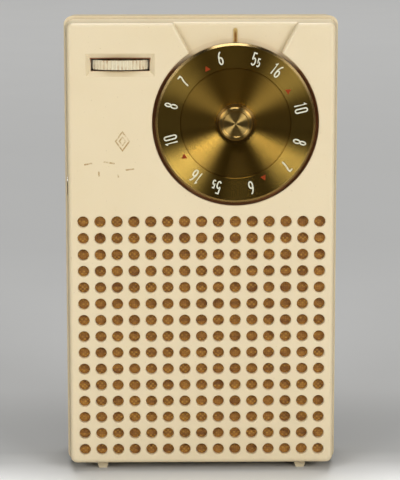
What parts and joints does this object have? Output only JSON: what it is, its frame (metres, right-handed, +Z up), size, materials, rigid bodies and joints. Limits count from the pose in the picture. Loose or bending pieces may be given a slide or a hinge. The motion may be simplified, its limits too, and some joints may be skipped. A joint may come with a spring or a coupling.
{
  "type": "transistor pocket radio",
  "caption": "Ivory pocket transistor radio with round gilt tuning dial, thumb volume wheel, square grille of round holes and a pull-off rear cover.",
  "frame": {"origin": "on the surface under the four feet, below the middle of the overall box", "axes": "+Z up, the front with the dial looks along -Y, +X to the right as seen from the front"},
  "size_m": [0.0762, 0.0344, 0.1281],
  "materials": {
    "ivory_case": "semi-gloss ivory styrene",
    "grille_cloth": "woven gold-brown cloth",
    "gilt_dial": "turned gilt aluminium, lacquered",
    "gilt_hub": "turned gilt",
    "worn_gold": "worn gold",
    "ivory_wheel": "ivory, fluted",
    "steel": "plated",
    "phenolic": "brown phenolic",
    "brass": "plain",
    "board": "phenolic paper board with copper tracks",
    "aluminium": "plain sheet",
    "ceramic": "tan ceramic",
    "basket_steel": "black painted steel",
    "felt": "grey felt",
    "paper": "dark paper pulp",
    "copper": "enamelled copper wire",
    "alnico": "ground magnet alloy",
    "battery_jacket": "printed jacket, plain blocks of colour",
    "ferrite": "dark ferrite",
    "can": "drawn can",
    "transistor_can": "black paint",
    "diode_glass": "glass",
    "capacitor_sleeve": "waxed card sleeve",
    "resistor_body": "moulded with colour bands",
    "core_iron": "laminated core",
    "winding_tape": "varnished tape",
    "chrome": "plated",
    "lead_black": "insulated wire",
    "lead_red": "insulated wire"
  },
  "bodies": {
    "case": {"antenna_coil": "copper", "antenna_saddles": "phenolic", "battery_clips": "brass", "board_screws": "steel", "bracket_rivets": "brass", "capacitor_frame": "steel", "capacitor_screws": "brass", "circuit_board": "board", "clip_rivets": "brass", "detector_diode": "diode_glass", "dial_index": "worn_gold", "disc_capacitors": "ceramic", "earphone_jack": "chrome", "electrolytic_capacitors": "capacitor_sleeve", "ferrite_rod": "ferrite", "front_case": "ivory_case", "grille_cloth": "grille_cloth", "if_transformer_1": "can", "if_transformer_2": "can", "if_transformer_3": "can", "jack_leads": "lead_red", "jack_nut": "chrome", "magnet_core": "alnico", "magnet_plate": "steel", "magnet_pot": "steel", "oscillator_coil": "can", "resistors": "resistor_body", "speaker_basket": "basket_steel", "speaker_gasket": "felt", "speaker_leads": "lead_black", "speaker_screws": "steel", "speaker_spacers": "brass", "stator_insulators": "ceramic", "stator_plates": "aluminium", "transformer_core": "core_iron", "transformer_winding": "winding_tape", "transistor_1": "transistor_can", "transistor_2": "transistor_can", "transistor_3": "transistor_can", "transistor_4": "transistor_can", "tuning_slugs": "ferrite", "volume_bracket": "steel", "volume_control": "steel", "volume_switch": "phenolic"},
    "dial": {"tuning_dial": "gilt_dial", "dial_hub_cap": "gilt_hub", "tuning_shaft": "brass", "rotor_plates": "aluminium"},
    "wheel": {"volume_wheel": "ivory_wheel", "volume_shaft": "steel"},
    "cover": {"rear_cover": "ivory_case"},
    "battery_pack": {"battery": "battery_jacket", "battery_terminals": "brass"},
    "cone": {"speaker_cone": "paper", "dust_cap": "paper", "voice_coil": "copper"}
  },
  "joints": [
    {"name": "tuning_turn", "type": "hinge", "parent": "case", "child": "dial", "pos_m": [0.0094, 0, 0.0992], "axis": [0, 1, 0], "range_deg": [-28, 152]},
    {"name": "volume_turn", "type": "hinge", "parent": "case", "child": "wheel", "pos_m": [-0.0223, -0.00428, 0.1152], "axis": [0, 0, 1], "range_deg": [0, 300]},
    {"name": "cover_pull", "type": "slide", "parent": "case", "child": "cover", "axis": [0, 1, 0], "range_m": [0, 0.08]},
    {"name": "battery_lift", "type": "slide", "parent": "case", "child": "battery_pack", "axis": [0, 1, 0], "range_m": [0, 0.04]},
    {"name": "cone_travel", "type": "slide", "parent": "case", "child": "cone", "axis": [0, 1, 0], "range_m": [-0.0003, 0.0003], "stiffness_N_per_m": 2000}
  ],
  "couplings": [
    {"joint": "battery_lift", "follows": "cover_pull", "ratio": 0.5}
  ]
}
